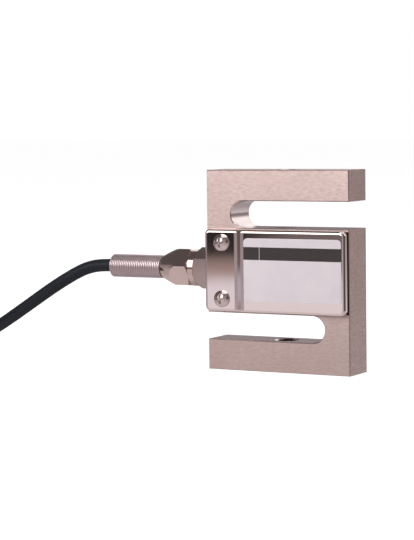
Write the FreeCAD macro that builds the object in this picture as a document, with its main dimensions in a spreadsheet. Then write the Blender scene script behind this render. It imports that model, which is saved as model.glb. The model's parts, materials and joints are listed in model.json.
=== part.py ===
"""S-type load cell: a nickel-plated steel S-beam with formed covers, a cable gland and its cable.

Frame: X runs along the beam's width with the gland at -X, -Y is the labelled front and +Z is up.
The origin is on the axis of the two mounting threads, at the beam's underside. Lengths are in mm.
"""

import FreeCAD
import Part
import Sketcher
import math
import os

from FreeCAD import Placement, Rotation, Vector

SIZES = [
    # The S-beam
    ("beam_width", 50.0),
    ("beam_height", 64.0),
    ("beam_depth", 12.7),
    ("leg_height", 9.8),
    ("slot_height", 8.6),
    ("column_width", 8.6),
    ("edge_break", 0.25),
    ("mount_thread_radius", 3.4),
    ("mount_thread_chamfer", 0.5),
    # The sensing cavity through the middle block
    ("lobe_radius", 8.5),
    ("lobe_offset", 9.5),
    ("cavity_neck_height", 11.0),
    # The formed covers, their screws and pads
    ("cover_sheet", 0.5),
    ("cover_height", 26.4),
    ("cover_left_margin", 0.05),
    ("cover_right_margin", 0.35),
    ("rear_cover_right_margin", 1.9),
    ("cover_stand_off", 2.2),
    ("cover_joggle_step", 0.7),
    ("cover_joggle_start", 11.45),
    ("cover_joggle_run", 2.5),
    ("cover_joggle_bend", 4.6),
    ("cover_float_gap", 0.9),
    ("cover_corner_radius", 1.8),
    ("cover_edge_radius", 1.0),
    ("cover_hole_radius", 1.7),
    ("pad_margin", 0.9),
    ("screw_inset", 6.3),
    ("screw_edge_inset", 4.2),
    ("screw_head_radius", 2.65),
    ("screw_head_height", 1.75),
    ("screw_head_crown", 1.25),
    ("screw_shank_radius", 1.2),
    ("screw_length", 6.0),
    ("screw_recess_length", 3.1),
    ("screw_recess_width", 0.85),
    ("screw_recess_depth", 1.1),
    ("thread_clearance", 0.05),
    # The label on the front cover
    ("label_width", 33.95),
    ("label_height", 19.9),
    ("label_thickness", 0.15),
    ("label_corner_radius", 1.5),
    ("label_gap_to_joggle", 0.65),
    ("label_rise", 0.65),
    # The cable gland
    ("gland_stub_radius", 3.95),
    ("gland_stub_length", 6.2),
    ("gland_bore_radius", 2.25),
    ("hex_across_flats", 11.7),
    ("hex_chamfer", 0.5),
    ("gland_hex_length", 6.0),
    ("gland_neck_radius", 6.0),
    ("gland_neck_length", 1.9),
    ("gland_spigot_radius", 4.6),
    ("gland_spigot_length", 5.6),
    ("seal_pocket_radius", 3.6),
    ("seal_pocket_start", 3.0),
    ("seal_length", 7.6),
    ("nut_gap", 0.1),
    ("nut_hex_length", 4.4),
    ("nut_nose_length", 7.0),
    ("nut_nose_radius", 3.75),
    ("nut_nose_curve", 40.0),
    ("nut_shoulder", 6.4),
    ("nut_bore_radius", 2.4),
    ("nut_collar_radius", 3.15),
    ("nut_collar_length", 3.0),
    ("nut_turn", 7.0),
    ("o_ring_inner_radius", 4.2),
    ("o_ring_width", 1.0),
    ("o_ring_groove_depth", 0.9),
    ("fit_clearance", 0.05),
    # The strain-relief spring
    ("spring_wire", 0.62),
    ("spring_pitch", 0.68),
    ("spring_turns", 29.0),
    # What the cavity holds
    ("gauge_length", 4.0),
    ("gauge_width", 5.0),
    ("gauge_thickness", 0.12),
    ("gauge_bond", 0.05),
    ("board_length", 5.6),
    ("board_width", 10.0),
    ("board_thickness", 0.8),
    ("chip_length", 1.6),
    ("chip_width", 0.9),
    ("chip_height", 0.5),
    ("lead_radius", 0.45),
    ("gauge_wire_radius", 0.15),
    # The cable, its hank and its free end
    ("cable_radius", 2.1),
    ("hank_span", 44.2),
    ("hank_layers", 5.0),
    ("hank_fold_radius", 12.6),
    ("hank_waist_half_width", 8.4),
    ("hank_centre_distance", 161.0),
    ("hank_rest_gap", 0.05),
    ("hank_edge_break", 1.2),
    ("hank_entry_reach", 12.5),
    ("tie_width", 5.0),
    ("tie_thickness", 1.0),
    ("sleeve_radius", 2.5),
    ("sleeve_length", 11.0),
    ("tail_before_tie", 11.0),
    ("tail_after_tie", 4.0),
    ("end_lead_radius", 0.5),
    ("end_lead_length", 19.0),
    ("lead_tip_radius", 0.3),
    ("lead_tip_length", 5.0),
]

doc = FreeCAD.newDocument("s_type_load_cell")
sheet = doc.addObject("Spreadsheet::Sheet", "sizes")
for row, (alias, value) in enumerate(SIZES, start=1):
    sheet.set(f"A{row}", alias)
    sheet.set(f"B{row}", str(value))
    sheet.setAlias(f"B{row}", alias)
doc.recompute()

NODES = []
FULL_TURN = 360.0


def size(expression):
    """A number worked out from the sheet, such as size("sizes.beam_width / 2")."""
    found = sheet.evalExpression(expression)
    return float(getattr(found, "Value", found))


def node(item, label):
    """Registers an object as a sub-part under its own name."""
    item.Label = label
    NODES.append(item)
    return item


def plane_of(body, role):
    """One of a body's own origin planes or axes."""
    for feature in body.Origin.OriginFeatures:
        if feature.Role == role:
            return feature
    raise ValueError(role)


def add_sketch(body, name, role, lift=None):
    """An empty sketch on one of the body's origin planes, lifted along the plane's normal."""
    sketch = body.newObject("Sketcher::SketchObject", name)
    sketch.AttachmentSupport = [(plane_of(body, role), "")]
    sketch.MapMode = "FlatFace"
    if lift:
        sketch.setExpression(".AttachmentOffset.Base.z", lift)
    return sketch


def pin_point(sketch, geometry, position, x_text, y_text):
    """Holds a sketch point at two sheet expressions measured from the sketch's origin."""
    for kind, text, axis in (("DistanceX", x_text, -2), ("DistanceY", y_text, -1)):
        amount = size(text)
        if abs(amount) < 1e-9:
            sketch.addConstraint(Sketcher.Constraint("PointOnObject", geometry, position, axis))
        elif amount > 0:
            index = sketch.addConstraint(
                Sketcher.Constraint(kind, -1, 1, geometry, position, amount)
            )
            sketch.setExpression(f"Constraints[{index}]", text)
        else:
            index = sketch.addConstraint(
                Sketcher.Constraint(kind, geometry, position, -1, 1, -amount)
            )
            sketch.setExpression(f"Constraints[{index}]", f"-({text})")


def arc_between(start, end, radius):
    """A circle's short arc from start to end. A positive radius bulges to the right of the way."""
    chord = end - start
    half = chord.Length / 2
    across = Vector(chord.y, -chord.x, 0).normalize()
    sign = 1 if radius > 0 else -1
    rise = math.sqrt(radius * radius - half * half)
    centre = start + chord / 2 - across * (sign * rise)
    first = math.atan2(start.y - centre.y, start.x - centre.x)
    last = math.atan2(end.y - centre.y, end.x - centre.x)
    circle = Part.Circle(centre, Vector(0, 0, 1), abs(radius))
    if sign > 0:
        return Part.ArcOfCircle(circle, first, last), 1
    return Part.ArcOfCircle(circle, last, first), 2


def add_outline(sketch, corners):
    """A closed outline. A corner is (x, y), or (x, y, radius) where an arc leads to the next."""
    places = [Vector(size(corner[0]), size(corner[1]), 0) for corner in corners]
    starts = []
    for index, corner in enumerate(corners):
        here = places[index]
        there = places[(index + 1) % len(corners)]
        if len(corner) == 3:
            curve, start_position = arc_between(here, there, size(corner[2]))
            geometry = sketch.addGeometry(curve, False)
            limit = sketch.addConstraint(
                Sketcher.Constraint("Radius", geometry, abs(size(corner[2])))
            )
            sketch.setExpression(f"Constraints[{limit}]", f"abs({corner[2]})")
        else:
            geometry = sketch.addGeometry(Part.LineSegment(here, there), False)
            start_position = 1
        starts.append((geometry, start_position))
    for index, corner in enumerate(corners):
        geometry, start_position = starts[index]
        before, before_start = starts[index - 1]
        sketch.addConstraint(
            Sketcher.Constraint("Coincident", before, 3 - before_start, geometry, start_position)
        )
        pin_point(sketch, geometry, start_position, corner[0], corner[1])


def add_circle(sketch, x_text, y_text, radius_text):
    """A circle held by its centre and radius."""
    circle = Part.Circle(Vector(size(x_text), size(y_text), 0), Vector(0, 0, 1), size(radius_text))
    geometry = sketch.addGeometry(circle, False)
    pin_point(sketch, geometry, 3, x_text, y_text)
    limit = sketch.addConstraint(Sketcher.Constraint("Radius", geometry, size(radius_text)))
    sketch.setExpression(f"Constraints[{limit}]", radius_text)


def box_corners(x_low, x_high, y_low, y_high):
    """The four corners of an upright rectangle."""
    return [(x_low, y_low), (x_high, y_low), (x_high, y_high), (x_low, y_high)]


def pad(body, sketch, length, both_ways=False):
    """Adds material along the sketch's normal, or half to each side of it."""
    feature = body.newObject("PartDesign::Pad", sketch.Name + "_pad")
    feature.Profile = sketch
    feature.setExpression("Length", length)
    feature.Midplane = both_ways
    doc.recompute()
    return feature


def pocket_through(body, sketch):
    """Cuts a sketch through the whole body, both ways from its plane."""
    before = body.Shape.Volume
    feature = body.newObject("PartDesign::Pocket", sketch.Name + "_pocket")
    feature.Profile = sketch
    feature.Type = 1
    feature.Midplane = True
    doc.recompute()
    if not body.Shape.Volume < before:
        raise ValueError(f"{sketch.Name} cuts nothing")
    return feature


def pocket_to(body, sketch, depth, reverse=False):
    """Cuts a sketch to a depth, against its normal or along it."""
    before = body.Shape.Volume
    feature = body.newObject("PartDesign::Pocket", sketch.Name + "_pocket")
    feature.Profile = sketch
    feature.setExpression("Length", depth)
    feature.Reversed = reverse
    doc.recompute()
    if not body.Shape.Volume < before:
        raise ValueError(f"{sketch.Name} cuts nothing")
    return feature


def turn(body, sketch, cut=False):
    """Revolves a profile about the sketch's upright axis, to add or to cut."""
    before = body.Shape.Volume if cut else 0
    kind = "PartDesign::Groove" if cut else "PartDesign::Revolution"
    feature = body.newObject(kind, sketch.Name + ("_groove" if cut else "_turned"))
    feature.Profile = sketch
    feature.ReferenceAxis = (sketch, ["V_Axis"])
    feature.Angle = FULL_TURN
    doc.recompute()
    if cut and not body.Shape.Volume < before:
        raise ValueError(f"{sketch.Name} cuts nothing")
    return feature


def edges_where(shape, test):
    """The names of the edges that pass a test."""
    return [f"Edge{index + 1}" for index, edge in enumerate(shape.Edges) if test(edge)]


def dress(body, kind, names, amount):
    """A fillet or chamfer on named edges of the body's last feature."""
    base = body.Tip
    feature = body.newObject(f"PartDesign::{kind}", f"{body.Name}_{kind.lower()}")
    feature.Base = (base, names)
    feature.setExpression("Radius" if kind == "Fillet" else "Size", amount)
    doc.recompute()
    return feature


def near(first, second):
    """Whether two lengths are the same for choosing edges and faces."""
    return abs(first - second) < 1e-4


def runs_along(edge, axis):
    """Whether an edge is a straight line along an axis."""
    if not isinstance(edge.Curve, (Part.Line, Part.LineSegment)):
        return False
    way = (edge.Vertexes[-1].Point - edge.Vertexes[0].Point).normalize()
    return abs(abs(way.dot(axis)) - 1) < 1e-6


def lies_at(edge, axis, level):
    """Whether all of an edge lies at one level along an axis."""
    return all(near(vertex.Point.dot(axis), level) for vertex in edge.Vertexes)


X_AXIS = Vector(1, 0, 0)
Y_AXIS = Vector(0, 1, 0)
Z_AXIS = Vector(0, 0, 1)

HALF_DEPTH = "sizes.beam_depth / 2"
MIDDLE = "sizes.beam_height / 2"
BLOCK_BOTTOM = "sizes.leg_height + sizes.slot_height"
BLOCK_TOP = "sizes.beam_height - sizes.leg_height - sizes.slot_height"
LEFT = "-sizes.beam_width / 2"
RIGHT = "sizes.beam_width / 2"
SCREW_X = "-sizes.beam_width / 2 + sizes.screw_inset"
SCREW_RISE = "(sizes.cover_height / 2 - sizes.screw_edge_inset)"


def build_beam():
    """The S-beam: two threaded legs joined by a middle block with the sensing cavity in it."""
    body = doc.addObject("PartDesign::Body", "s_beam")
    outline = add_sketch(body, "beam_outline", "XZ_Plane")
    add_outline(outline, box_corners(LEFT, RIGHT, "0", "sizes.beam_height"))
    pad(body, outline, "sizes.beam_depth", both_ways=True)

    # Each slot is open at one side and has a full round end at the other.
    slot_end = "sizes.beam_width / 2 - sizes.column_width - sizes.slot_height / 2"
    round_end = "sizes.slot_height / 2"
    upper = add_sketch(body, "upper_slot", "XZ_Plane")
    top = "sizes.beam_height - sizes.leg_height"
    add_outline(upper, box_corners(f"-({slot_end})", RIGHT, BLOCK_TOP, top))
    pocket_through(body, upper)
    upper_end = add_sketch(body, "upper_slot_end", "XZ_Plane")
    add_circle(upper_end, f"-({slot_end})", f"({BLOCK_TOP}) + {round_end}", round_end)
    pocket_through(body, upper_end)
    lower = add_sketch(body, "lower_slot", "XZ_Plane")
    add_outline(lower, box_corners(LEFT, slot_end, "sizes.leg_height", BLOCK_BOTTOM))
    pocket_through(body, lower)
    lower_end = add_sketch(body, "lower_slot_end", "XZ_Plane")
    add_circle(lower_end, slot_end, f"sizes.leg_height + {round_end}", round_end)
    pocket_through(body, lower_end)

    # Both faces' outlines are lightly broken before any hole is made.
    half_depth = size(HALF_DEPTH)
    names = edges_where(
        body.Shape,
        lambda edge: lies_at(edge, Y_AXIS, half_depth) or lies_at(edge, Y_AXIS, -half_depth),
    )
    dress(body, "Chamfer", names, "sizes.edge_break")

    # Two round lobes and a neck make thin flexures above and below the gauges.
    lobes = add_sketch(body, "cavity_lobes", "XZ_Plane")
    for side in ("-", ""):
        add_circle(lobes, f"{side}sizes.lobe_offset", MIDDLE, "sizes.lobe_radius")
    pocket_through(body, lobes)
    neck = add_sketch(body, "cavity_neck", "XZ_Plane")
    half_neck = "sizes.cavity_neck_height / 2"
    add_outline(
        neck,
        box_corners(
            "-sizes.lobe_offset",
            "sizes.lobe_offset",
            f"{MIDDLE} - {half_neck}",
            f"{MIDDLE} + {half_neck}",
        ),
    )
    pocket_through(body, neck)

    # The mounting threads run through both legs, and are modelled at their core radius.
    threads = add_sketch(body, "mount_threads", "XY_Plane")
    add_circle(threads, "0", "0", "sizes.mount_thread_radius")
    pocket_to(body, threads, "sizes.leg_height", reverse=True)
    top_thread = add_sketch(body, "top_thread", "XY_Plane", "sizes.beam_height")
    add_circle(top_thread, "0", "0", "sizes.mount_thread_radius")
    pocket_to(body, top_thread, "sizes.leg_height")
    radius = size("sizes.mount_thread_radius")
    mouths = edges_where(
        body.Shape,
        lambda edge: isinstance(edge.Curve, Part.Circle)
        and near(edge.Curve.Radius, radius)
        and abs(edge.Curve.Axis.z) > 0.99,
    )
    dress(body, "Chamfer", mouths, "sizes.mount_thread_chamfer")

    # Cover screws share one tapped hole from face to face at each height.
    taps = add_sketch(body, "cover_taps", "XZ_Plane")
    for side in ("-", "+"):
        add_circle(
            taps,
            SCREW_X,
            f"{MIDDLE} {side} {SCREW_RISE}",
            "sizes.screw_shank_radius + sizes.thread_clearance",
        )
    pocket_through(body, taps)

    # The gland's threaded port opens from the block's left face into the cavity.
    port = add_sketch(body, "gland_port", "YZ_Plane", LEFT)
    add_circle(port, "0", MIDDLE, "sizes.gland_stub_radius + sizes.thread_clearance")
    depth = "sizes.beam_width / 2 - sizes.lobe_offset"
    pocket_to(body, port, depth, reverse=True)
    return node(body, "s_beam")


PLATE_OUT = "sizes.beam_depth / 2 + sizes.cover_stand_off"
RAISED_OUT = f"{PLATE_OUT} + sizes.cover_joggle_step"
COVER_LEFT = "-sizes.beam_width / 2 + sizes.cover_left_margin"
COVER_RIGHT = "sizes.beam_width / 2 - sizes.cover_right_margin"
REAR_COVER_RIGHT = "sizes.beam_width / 2 - sizes.rear_cover_right_margin"
JOGGLE_START = f"{COVER_LEFT} + sizes.cover_joggle_start"
JOGGLE_END = f"{JOGGLE_START} + sizes.cover_joggle_run"


def on_side(body, front):
    """Puts a body made for the front at mid height, or turns it over to the rear."""
    turned = Rotation() if front else Rotation(X_AXIS, 180)
    body.Placement = Placement(Vector(0, 0, size(MIDDLE)), turned)
    body.setExpression("Placement.Base.z", MIDDLE)


def build_cover(label, front):
    """A formed sheet cover: a screwed flange, a joggle, and a raised part clear of the beam."""
    body = doc.addObject("PartDesign::Body", label)
    right_end = COVER_RIGHT if front else REAR_COVER_RIGHT
    plan = add_sketch(body, label + "_plan", "XY_Plane")
    add_outline(
        plan,
        [
            (COVER_LEFT, f"-{HALF_DEPTH}"),
            (COVER_LEFT, f"-({PLATE_OUT})"),
            (JOGGLE_START, f"-({PLATE_OUT})"),
            (JOGGLE_END, f"-({RAISED_OUT})"),
            (right_end, f"-({RAISED_OUT})"),
            (right_end, f"-{HALF_DEPTH}"),
        ],
    )
    pad(body, plan, "sizes.cover_height", both_ways=True)

    start = size(JOGGLE_START)
    end = size(JOGGLE_END)
    bends = edges_where(
        body.Shape,
        lambda edge: runs_along(edge, Z_AXIS)
        and (lies_at(edge, X_AXIS, start) or lies_at(edge, X_AXIS, end)),
    )
    dress(body, "Fillet", bends, "sizes.cover_joggle_bend")
    corners = edges_where(body.Shape, lambda edge: runs_along(edge, Y_AXIS))
    dress(body, "Fillet", corners, "sizes.cover_corner_radius")
    seat = -size(HALF_DEPTH)
    left = size(COVER_LEFT)
    right = size(right_end)
    half_height = size("sizes.cover_height / 2")

    def is_rim(edge):
        """Whether an edge runs round the outside of the plate."""
        middle = edge.valueAt((edge.FirstParameter + edge.LastParameter) / 2)
        if near(middle.y, seat) or runs_along(edge, Y_AXIS):
            return False
        inside_x = left + 1e-4 < middle.x < right - 1e-4
        inside_z = abs(middle.z) < half_height - 1e-4
        if inside_x and inside_z:
            return isinstance(edge.Curve, Part.Circle) and near(abs(edge.Curve.Axis.y), 1)
        return not lies_at(edge, Y_AXIS, seat)

    dress(body, "Fillet", edges_where(body.Shape, is_rim), "sizes.cover_edge_radius")

    # The inside follows the outside, one sheet's thickness in.
    wall = "sizes.cover_sheet"
    inner_left = f"{COVER_LEFT} + {wall}"
    inner_right = f"{right_end} - {wall}"
    inner_top = f"sizes.cover_height / 2 - {wall}"
    bend = f"(sizes.cover_corner_radius - {wall})"
    right_side = [
        (f"{inner_right} - {bend}", f"-({inner_top})", bend),
        (inner_right, f"-({inner_top} - {bend})"),
        (inner_right, f"{inner_top} - {bend}", bend),
        (f"{inner_right} - {bend}", inner_top),
    ]
    flange = add_sketch(body, label + "_inside", "XZ_Plane", HALF_DEPTH)
    left_side = [
        (f"{inner_left} + {bend}", inner_top, bend),
        (inner_left, f"{inner_top} - {bend}"),
        (inner_left, f"-({inner_top} - {bend})", bend),
        (f"{inner_left} + {bend}", f"-({inner_top})"),
    ]
    add_outline(flange, right_side + left_side)
    pocket_to(body, flange, f"sizes.cover_stand_off - {wall}", reverse=True)
    raised = add_sketch(body, label + "_raised_inside", "XZ_Plane", HALF_DEPTH)
    add_outline(raised, right_side + [(JOGGLE_END, inner_top), (JOGGLE_END, f"-({inner_top})")])
    depth = f"sizes.cover_stand_off + sizes.cover_joggle_step - {wall}"
    pocket_to(body, raised, depth, reverse=True)

    # The raised part's rim stops short of the beam, so it never touches the moving side.
    relief = add_sketch(body, label + "_relief", "XY_Plane")
    add_outline(
        relief,
        box_corners(
            f"({JOGGLE_START} + {JOGGLE_END}) / 2",
            RIGHT,
            f"-{HALF_DEPTH} - sizes.cover_float_gap",
            f"-{HALF_DEPTH} + sizes.cover_sheet",
        ),
    )
    pocket_through(body, relief)
    holes = add_sketch(body, label + "_holes", "XZ_Plane")
    for side in ("-", ""):
        add_circle(holes, SCREW_X, f"{side}{SCREW_RISE}", "sizes.cover_hole_radius")
    pocket_through(body, holes)
    on_side(body, front)
    return node(body, label)


def build_pad(label, front):
    """The rubber pad between the beam and the cover's screwed flange."""
    body = doc.addObject("PartDesign::Body", label)
    outline = add_sketch(body, label + "_outline", "XZ_Plane", HALF_DEPTH)
    half_height = "sizes.cover_height / 2 - sizes.pad_margin"
    add_outline(
        outline,
        box_corners(
            f"{COVER_LEFT} + sizes.pad_margin",
            f"{JOGGLE_START} - sizes.pad_margin",
            f"-({half_height})",
            half_height,
        ),
    )
    pad(body, outline, "sizes.cover_stand_off - sizes.cover_sheet")
    holes = add_sketch(body, label + "_holes", "XZ_Plane")
    for side in ("-", ""):
        add_circle(holes, SCREW_X, f"{side}{SCREW_RISE}", "sizes.cover_hole_radius")
    pocket_through(body, holes)
    on_side(body, front)
    return node(body, label)


def build_screw(label, front, upper):
    """A pan-head machine screw with a cross recess, its origin under the head."""
    body = doc.addObject("PartDesign::Body", label)
    profile = add_sketch(body, label + "_profile", "XZ_Plane")
    across = "sizes.screw_head_radius"
    crown = "sizes.screw_head_crown"
    add_outline(
        profile,
        [
            ("0", "-sizes.screw_length"),
            ("sizes.screw_shank_radius", "-sizes.screw_length"),
            ("sizes.screw_shank_radius", "0"),
            ("sizes.screw_head_radius", "0"),
            (
                "sizes.screw_head_radius",
                "sizes.screw_head_height - sizes.screw_head_crown",
                f"({across} * {across} + {crown} * {crown}) / (2 * {crown})",
            ),
            ("0", "sizes.screw_head_height"),
        ],
    )
    turn(body, profile)
    recess = add_sketch(body, label + "_recess", "XY_Plane", "sizes.screw_head_height")
    arm = "sizes.screw_recess_length / 2"
    slot = "sizes.screw_recess_width / 2"
    add_outline(
        recess,
        [
            (arm, f"-{slot}"),
            (arm, slot),
            (slot, slot),
            (slot, arm),
            (f"-{slot}", arm),
            (f"-{slot}", slot),
            (f"-{arm}", slot),
            (f"-{arm}", f"-{slot}"),
            (f"-{slot}", f"-{slot}"),
            (f"-{slot}", f"-{arm}"),
            (slot, f"-{arm}"),
            (slot, f"-{slot}"),
        ],
    )
    pocket_to(body, recess, "sizes.screw_recess_depth")
    out = "-" if front else ""
    rise = "+" if upper else "-"
    height = f"{MIDDLE} {rise} {SCREW_RISE}"
    facing = Rotation(X_AXIS, 90 if front else -90)
    body.Placement = Placement(
        Vector(size(SCREW_X), size(f"{out}({PLATE_OUT})"), size(height)),
        facing,
    )
    body.setExpression("Placement.Base.x", SCREW_X)
    body.setExpression("Placement.Base.y", f"{out}({PLATE_OUT})")
    body.setExpression("Placement.Base.z", height)
    return node(body, label)


def build_label():
    """The printed plate stuck to the front cover's raised part."""
    body = doc.addObject("PartDesign::Body", "front_label")
    outline = add_sketch(body, "label_outline", "XZ_Plane", RAISED_OUT)
    left = f"{JOGGLE_END} + sizes.label_gap_to_joggle"
    add_outline(
        outline,
        box_corners(
            left,
            f"{left} + sizes.label_width",
            "sizes.label_rise - sizes.label_height / 2",
            "sizes.label_rise + sizes.label_height / 2",
        ),
    )
    pad(body, outline, "sizes.label_thickness")
    corners = edges_where(body.Shape, lambda edge: runs_along(edge, Y_AXIS))
    dress(body, "Fillet", corners, "sizes.label_corner_radius")
    on_side(body, True)
    return node(body, "front_label")


def along_gland(item, roll=0.0):
    """Turns a piece made along +Z so that it points out of the beam's left face."""
    outward = Rotation(Y_AXIS, -90)
    item.Placement = Placement(
        Vector(size(LEFT), 0, size(MIDDLE)), outward.multiply(Rotation(Z_AXIS, roll))
    )
    item.setExpression("Placement.Base.x", LEFT)
    item.setExpression("Placement.Base.z", MIDDLE)


HEX_CORNER = "sizes.hex_across_flats / sqrt(3)"
NUT_START = "sizes.gland_hex_length + sizes.gland_neck_length"
SPIGOT_END = f"{NUT_START} + sizes.gland_spigot_length"
NOSE_START = f"{NUT_START} + sizes.nut_gap + sizes.nut_hex_length"
NOSE_END = f"{NOSE_START} + sizes.nut_nose_length"
COLLAR_END = f"{NOSE_END} + sizes.nut_collar_length"
SPRING_END = f"{NOSE_END} + sizes.nut_gap + sizes.spring_pitch * sizes.spring_turns"
SEAL_END = "sizes.seal_pocket_start + sizes.seal_length"
SHOULDER = f"{NUT_START} + sizes.nut_shoulder"


def add_hexagon(sketch):
    """A hexagon with corners at 0, 60, 120 degrees and so on."""
    half = "sizes.hex_across_flats / 2"
    add_outline(
        sketch,
        [
            (HEX_CORNER, "0"),
            (f"{HEX_CORNER} / 2", half),
            (f"-{HEX_CORNER} / 2", half),
            (f"-{HEX_CORNER}", "0"),
            (f"-{HEX_CORNER} / 2", f"-{half}"),
            (f"{HEX_CORNER} / 2", f"-{half}"),
        ],
    )


def turn_corners(body, name, level, way):
    """Turns a 30 degree chamfer on a hexagon's corners at one end of it."""
    sketch = add_sketch(body, name, "XZ_Plane")
    reach = f"{HEX_CORNER} + sizes.hex_chamfer"
    flat = "sizes.hex_across_flats / 2"
    run = f"({reach} - {flat}) * tan(30)"
    corners = [
        (flat, level),
        (reach, level),
        (reach, f"{level} + ({way}) * {run}"),
    ]
    add_outline(sketch, corners)
    turn(body, sketch, cut=True)


def build_gland_body():
    """The gland's body: port stub, hexagon, neck and the spigot that the nut screws on."""
    body = doc.addObject("PartDesign::Body", "gland_body")
    hexagon = add_sketch(body, "gland_hexagon", "XY_Plane")
    add_hexagon(hexagon)
    pad(body, hexagon, "sizes.gland_hex_length")
    turn_corners(body, "gland_outer_chamfer", "sizes.gland_hex_length", "-1")
    turn_corners(body, "gland_inner_chamfer", "0", "1")
    stub = add_sketch(body, "gland_stub", "XZ_Plane")
    add_outline(stub, box_corners("0", "sizes.gland_stub_radius", "-sizes.gland_stub_length", "0"))
    turn(body, stub)
    neck = add_sketch(body, "gland_neck", "XZ_Plane")
    add_outline(
        neck,
        [
            ("0", "sizes.gland_hex_length"),
            ("sizes.gland_neck_radius", "sizes.gland_hex_length"),
            ("sizes.gland_neck_radius", NUT_START),
            ("sizes.gland_spigot_radius", NUT_START),
            ("sizes.gland_spigot_radius", SPIGOT_END),
            ("0", SPIGOT_END),
        ],
    )
    turn(body, neck)
    bore = add_sketch(body, "gland_bore", "XZ_Plane")
    add_outline(
        bore,
        [
            ("0", "-sizes.gland_stub_length"),
            ("sizes.gland_bore_radius", "-sizes.gland_stub_length"),
            ("sizes.gland_bore_radius", "sizes.seal_pocket_start"),
            ("sizes.seal_pocket_radius", "sizes.seal_pocket_start"),
            ("sizes.seal_pocket_radius", SPIGOT_END),
            ("0", SPIGOT_END),
        ],
    )
    turn(body, bore, cut=True)
    groove = add_sketch(body, "o_ring_groove", "XZ_Plane")
    add_outline(
        groove,
        box_corners(
            "sizes.o_ring_inner_radius - sizes.fit_clearance",
            "sizes.o_ring_inner_radius + sizes.o_ring_width + sizes.fit_clearance",
            "0",
            "sizes.o_ring_groove_depth",
        ),
    )
    turn(body, groove, cut=True)
    along_gland(body)
    return node(body, "gland_body")


def build_gland_nut():
    """The domed compression nut, with a collar that the spring is pushed over."""
    body = doc.addObject("PartDesign::Body", "gland_nut")
    start = f"{NUT_START} + sizes.nut_gap"
    hexagon = add_sketch(body, "nut_hexagon", "XY_Plane", start)
    add_hexagon(hexagon)
    pad(body, hexagon, "sizes.nut_hex_length + sizes.nut_nose_length")
    turn_corners(body, "nut_chamfer", start, "1")
    nose = add_sketch(body, "nut_nose", "XZ_Plane")
    add_outline(
        nose,
        [
            (HEX_CORNER, NOSE_START),
            (f"{HEX_CORNER} + sizes.hex_chamfer", NOSE_START),
            (f"{HEX_CORNER} + sizes.hex_chamfer", NOSE_END),
            ("sizes.nut_nose_radius", NOSE_END, "-sizes.nut_nose_curve"),
        ],
    )
    turn(body, nose, cut=True)
    collar = add_sketch(body, "nut_collar", "XZ_Plane")
    add_outline(collar, box_corners("0", "sizes.nut_collar_radius", NOSE_END, COLLAR_END))
    turn(body, collar)
    bore = add_sketch(body, "nut_bore", "XZ_Plane")
    add_outline(
        bore,
        [
            ("0", start),
            ("sizes.gland_spigot_radius + sizes.thread_clearance", start),
            ("sizes.gland_spigot_radius + sizes.thread_clearance", SHOULDER),
            ("sizes.nut_bore_radius", SHOULDER),
            ("sizes.nut_bore_radius", COLLAR_END),
            ("0", COLLAR_END),
        ],
    )
    turn(body, bore, cut=True)
    along_gland(body, size("sizes.nut_turn") + 90)
    return node(body, "gland_nut")


def build_ring(label, inner, outer, low, high):
    """A plain turned ring on the gland's axis."""
    body = doc.addObject("PartDesign::Body", label)
    profile = add_sketch(body, label + "_profile", "XZ_Plane")
    add_outline(profile, box_corners(inner, outer, low, high))
    turn(body, profile)
    along_gland(body)
    return node(body, label)


def build_spring():
    """The close-wound strain-relief spring, one ridge for each turn of its wire."""
    body = doc.addObject("PartDesign::Body", "strain_relief_spring")
    profile = add_sketch(body, "spring_profile", "XZ_Plane")
    inner = "sizes.nut_collar_radius + sizes.fit_clearance"
    start = f"{NOSE_END} + sizes.nut_gap"
    corners = [(inner, SPRING_END), (inner, start)]
    for index in range(int(size("sizes.spring_turns"))):
        valley = f"{start} + sizes.spring_pitch * {index}"
        corners.append((f"{inner} + sizes.spring_wire * 0.6", valley))
        corners.append((f"{inner} + sizes.spring_wire", f"{valley} + sizes.spring_pitch / 2"))
    corners.append((f"{inner} + sizes.spring_wire * 0.6", SPRING_END))
    add_outline(profile, corners)
    turn(body, profile)
    along_gland(body)
    return node(body, "strain_relief_spring")


def solid_feature(label, shape):
    """A sub-part whose shape is worked out from the sheet's values."""
    feature = doc.addObject("Part::Feature", label)
    feature.Shape = shape
    return node(feature, label)


def rounded_wire(points, share=0.45):
    """Straight runs joined by tangent arcs, each as large as its two runs allow."""
    edges = []
    radii = []
    last = points[0]
    for before, here, after in zip(points, points[1:], points[2:]):
        back = (before - here).normalize()
        ahead = (after - here).normalize()
        half_turn = (math.pi - back.getAngle(ahead)) / 2
        cut = share * min((before - here).Length, (after - here).Length)
        radii.append(cut / math.tan(half_turn))
        entry = here + back * cut
        leave = here + ahead * cut
        inward = (back + ahead).normalize()
        centre_away = radii[-1] / math.cos(half_turn)
        middle = here + inward * (centre_away - radii[-1])
        edges.append(Part.LineSegment(last, entry).toShape())
        edges.append(Part.Arc(entry, middle, leave).toShape())
        last = leave
    edges.append(Part.LineSegment(last, points[-1]).toShape())
    return Part.Wire(edges), radii


def tube_along(points, radius, share=0.45):
    """A round tube along a rounded route, with its length and its smallest bend."""
    wire, radii = rounded_wire(points, share)
    circle = Part.Circle(points[0], points[1] - points[0], radius).toShape()
    tube = wire.makePipeShell([Part.Wire([circle])], True, True)
    expected = math.pi * radius * radius * wire.Length
    if abs(tube.Volume / expected - 1) > 0.01:
        raise ValueError("a tube's volume differs from its section times its length")
    return tube, wire.Length, radii


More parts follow.
